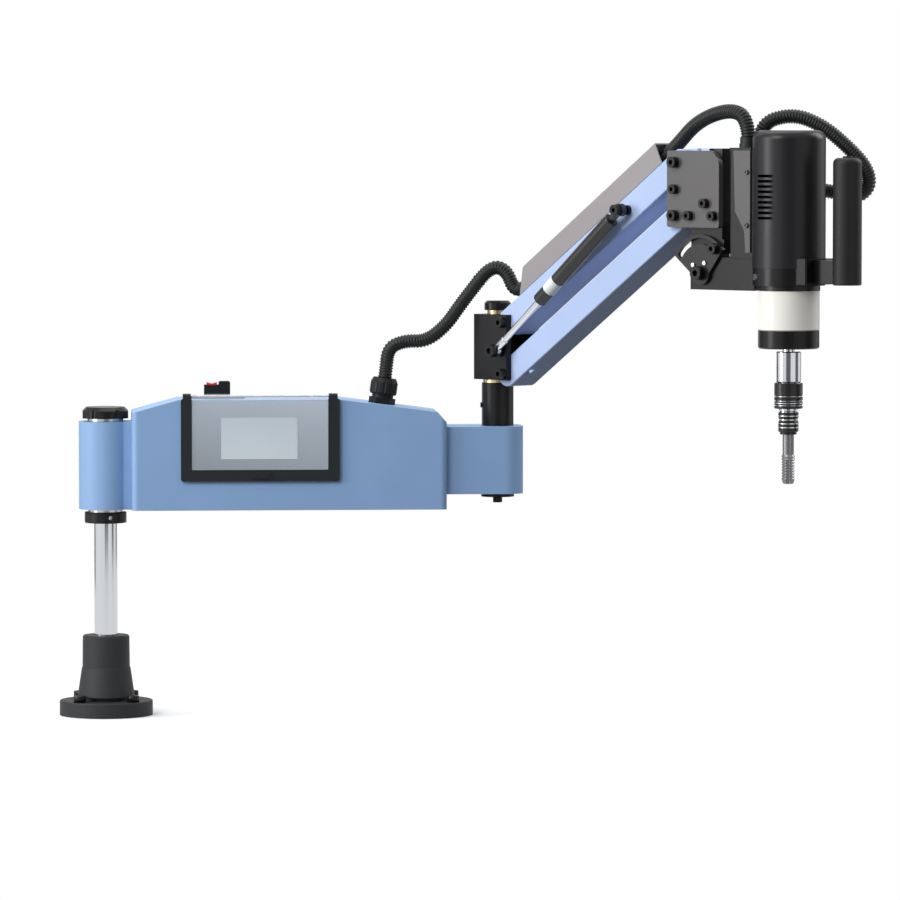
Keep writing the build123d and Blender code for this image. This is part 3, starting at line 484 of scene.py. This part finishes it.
# %% [markdown]
# The upper conduit leaves the cover's far end and arches over the head carrier into the
# top of the head. It is two pieces for the same reason. The loop behind the head lies in
# an upright plane and moves with the head, so it is one piece that only rides.

# %% The conduits of the head
carrier_split = from_arm(0.447, -0.007, 0.8995)
beam_points = [
    on_beam(0.362, 0.034), on_beam(0.410, 0.035), from_arm(0.412, -0.004, 0.891), carrier_split,
]
beam_hose, beam_line, beam_length = conduit("beam_hose", beam_points, ARM_SIDE, "beam_conduit")
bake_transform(beam_hose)

PORT_UPPER, PORT_HEAD = (0.517, -0.010), (0.512, 0.018)
carrier_points = [
    carrier_split, from_arm(0.482, -0.010, 0.908), from_arm(*PORT_UPPER, 0.893),
    from_arm(*PORT_UPPER, 0.8535),
]
carrier_hose, _, _ = conduit("carrier_hose", carrier_points, ARM_SIDE, "carrier_conduit")
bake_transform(carrier_hose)

LOOP_TURN = radians(49)
loop_outline = [
    (0, 853.5), (0, 886), (48, 901), (92, 884), (130, 852), (157, 822), (161, 795),
    (140, 779), (100, 791.5), (59, 792),
]
loop_points = [
    from_arm(
        PORT_HEAD[0] + across * cos(LOOP_TURN) / 1000,
        PORT_HEAD[1] + across * sin(LOOP_TURN) / 1000,
        height / 1000,
    )
    for across, height in loop_outline
]
head_loop, loop_line, loop_length = conduit("head_loop", loop_points, (0, -1, 0), "head_conduit")
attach(head_loop, "head")

# %% [markdown]
# ## Hold-down bolts
# Four socket screws hold the foot to its bench. Their heads are turned shapes: a
# profile of (radius, height) pairs, spun about an upright axis, with a socket that is
# the same profile carried back down the middle.


# %% The bolts on the foot
def turned(name, profile, x, y, material, sides=40):
    """A closed body of revolution about an upright axis at (x, y), in metres."""
    angles = np.linspace(0, 2 * pi, sides, endpoint=False)
    rings = np.array(
        [[(x + r * cos(a), y + r * sin(a), z) for a in angles] for r, z in profile]
    )
    return grid_piece(name, rings, material, closed_ends=True)


BOLT_CIRCLE = 0.0565
FLANGE_TOP = 0.022
head_profile = [
    (0.0090, 0.0), (0.0090, 0.0088), (0.0082, 0.0098), (0.0052, 0.0098), (0.0048, 0.0094),
    (0.0048, 0.0045), (0.0002, 0.0040),
]
for count, angle in enumerate((45, 135, 225, 315)):
    x, y = BOLT_CIRCLE * cos(radians(angle)), BOLT_CIRCLE * sin(radians(angle))
    profile = [(r, FLANGE_TOP + z) for r, z in head_profile]
    bolt = turned(f"foot_bolt_{count}", profile, x, y, looks["black"])
    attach(bolt, "base")
print("foot bolts:", count + 1)

# %% [markdown]
# ## Floor, light and camera
# The photograph is a bright studio picture on white. The rays that look at the floor and
# the world, or mirror them, see white there. The floor fades to that white away from the
# machine and keeps its shadow. To the rays that light the machine the floor is darker, so
# the undersides of the beams stay deep.

# %% Floor
SPREAD = 6.0
FLOOR_DROP = 0.0005
FADE_CENTRE_X = 0.30
FADE_START, FADE_RATE = 0.15, 1.6  # in metres from the centre, and per metre
floor_mesh = bpy.data.meshes.new("floor")
corners = [(-SPREAD, -SPREAD, 0), (SPREAD, -SPREAD, 0), (SPREAD, SPREAD, 0), (-SPREAD, SPREAD, 0)]
floor_mesh.from_pydata(corners, [], [(0, 1, 2, 3)])
floor = bpy.data.objects.new("floor", floor_mesh)
floor.location.z = -FLOOR_DROP
bpy.context.scene.collection.objects.link(floor)
floor_look = Surface("floor")
floor_x, floor_y, _ = floor_look.axes()
off_x = floor_x - FADE_CENTRE_X
aside = (off_x * off_x + floor_y * floor_y).math("SQRT")
faded = ((aside - FADE_START) * FADE_RATE).math("MINIMUM", 1.0).math("MAXIMUM", 0.0)
floor_seen = seen_rays(floor_look.tree)
floor_colour = floor_look.mix(floor_seen, (0.020, 0.022, 0.026, 1), (0.93, 0.94, 0.95, 1))
floor_look.set(Base_Color=floor_colour, Roughness=0.9, Specular_IOR_Level=0.1)
glow = floor_look.node("ShaderNodeEmission", Strength=1.0)
mixer = floor_look.node("ShaderNodeMixShader", Fac=faded * floor_seen)
floor_look.tree.links.new(floor_look.shader.outputs[0], mixer.inputs[1])
floor_look.tree.links.new(glow.outputs[0], mixer.inputs[2])
floor_look.tree.links.new(mixer.outputs[0], floor_look.tree.nodes["Material Output"].inputs[0])
floor_mesh.materials.append(floor_look.material)

# %% World
WORLD_LIGHT = 0.55  # for the rays that light the machine
world = bpy.data.worlds.new("studio")
bpy.context.scene.world = world
world.use_nodes = True
sky = world.node_tree
background = sky.nodes["Background"]
mirrored = seen_rays(sky)
strength = mirrored + (1.0 - mirrored) * WORLD_LIGHT
plug(sky, background.inputs["Strength"], strength)
background.inputs["Color"].default_value = (1, 1, 1, 1)


# %% Lamps
def area_lamp(name, place, aim, size, power):
    """A rectangular lamp. Places and size are in metres, and the power is in watts."""
    lamp = bpy.data.lights.new(name, "AREA")
    lamp.shape = "RECTANGLE"
    lamp.size, lamp.size_y = size
    lamp.energy = power
    holder = bpy.data.objects.new(name, lamp)
    holder.location = place
    way = np.array(aim, float) - np.array(place, float)
    holder.rotation_euler = Vector(way).to_track_quat("-Z", "Y").to_euler()
    bpy.context.scene.collection.objects.link(holder)


area_lamp("key", (-1.6, -2.4, 2.6), (0.5, 0, 0.5), (1.6, 1.6), 78)
area_lamp("left", (-3.2, -1.2, 1.3), (0.5, 0, 0.5), (1.4, 2.0), 85)
area_lamp("fill", (3.4, 0.6, 2.2), (0.7, 0, 0.5), (1.2, 2.0), 45)
area_lamp("top", (0.5, 0.4, 3.2), (0.5, 0, 0.4), (2.4, 1.6), 34)
print("lamps: 4")

# %% [markdown]
# Bright metal with only white round it looks flat, so dark cards stand in front of the
# machine, to its right and behind it. Only mirroring rays meet them.


# %% Dark cards for the reflections
CARD_GLOW = 0.16
card_look = Surface("card")
card_look.set(Base_Color=(0, 0, 0, 1), Roughness=1.0, Specular_IOR_Level=0.0)
card_look.set(Emission_Color=(1, 1, 1, 1), Emission_Strength=CARD_GLOW)


def dark_card(name, x, y, turn, width, height):
    """An upright rectangle that faces the machine and is seen in reflections only."""
    half = width / 2
    mesh = bpy.data.meshes.new(name)
    dx, dy = half * cos(radians(turn)), half * sin(radians(turn))
    left, right = (x - dx, y - dy), (x + dx, y + dy)
    outline = [(*left, 0), (*right, 0), (*right, height), (*left, height)]
    mesh.from_pydata(outline, [], [(0, 1, 2, 3)])
    card = bpy.data.objects.new(name, mesh)
    mesh.materials.append(card_look.material)
    bpy.context.scene.collection.objects.link(card)
    for ray in ("camera", "diffuse", "transmission", "shadow"):
        setattr(card, f"visible_{ray}", False)


dark_card("front_card", 0.5, -3.3, 0, 2.2, 2.2)
dark_card("right_card", 3.0, -0.9, 70, 1.3, 2.2)
dark_card("back_right_card", 2.4, 1.8, 130, 1.2, 2.2)
dark_card("back_left_card", -1.6, 1.8, 50, 1.2, 2.2)
print("cards: 4")

# %% [markdown]
# The camera is far off with a long lens, so the verticals stay nearly upright. It stands
# at the height of the head, a little left of square to the control arm, and looks down
# to the machine's middle.

# %% Camera
DISTANCE = 8.4
AZIMUTH = radians(4)
ACROSS = 0.5454  # to its own right of the origin
CAMERA_HEIGHT = 0.878
DOWNWARD, LEFTWARD = radians(3.27), radians(0.194)
FOCAL_PIXELS = 5609
IMAGE_PIXELS = 900
SENSOR_WIDTH = 36
camera_data = bpy.data.cameras.new("camera")
camera = bpy.data.objects.new("camera", camera_data)
camera.location = (
    ACROSS * cos(AZIMUTH) - DISTANCE * sin(AZIMUTH),
    -ACROSS * sin(AZIMUTH) - DISTANCE * cos(AZIMUTH),
    CAMERA_HEIGHT,
)
camera.rotation_euler = (radians(90) - DOWNWARD, 0, LEFTWARD - AZIMUTH)
camera_data.sensor_width = SENSOR_WIDTH
camera_data.lens = FOCAL_PIXELS * SENSOR_WIDTH / IMAGE_PIXELS
camera_data.clip_end = 100
bpy.context.scene.collection.objects.link(camera)
bpy.context.scene.camera = camera
bpy.context.scene.view_settings.view_transform = "Standard"
print("lens:", round(camera_data.lens, 1), "mm")
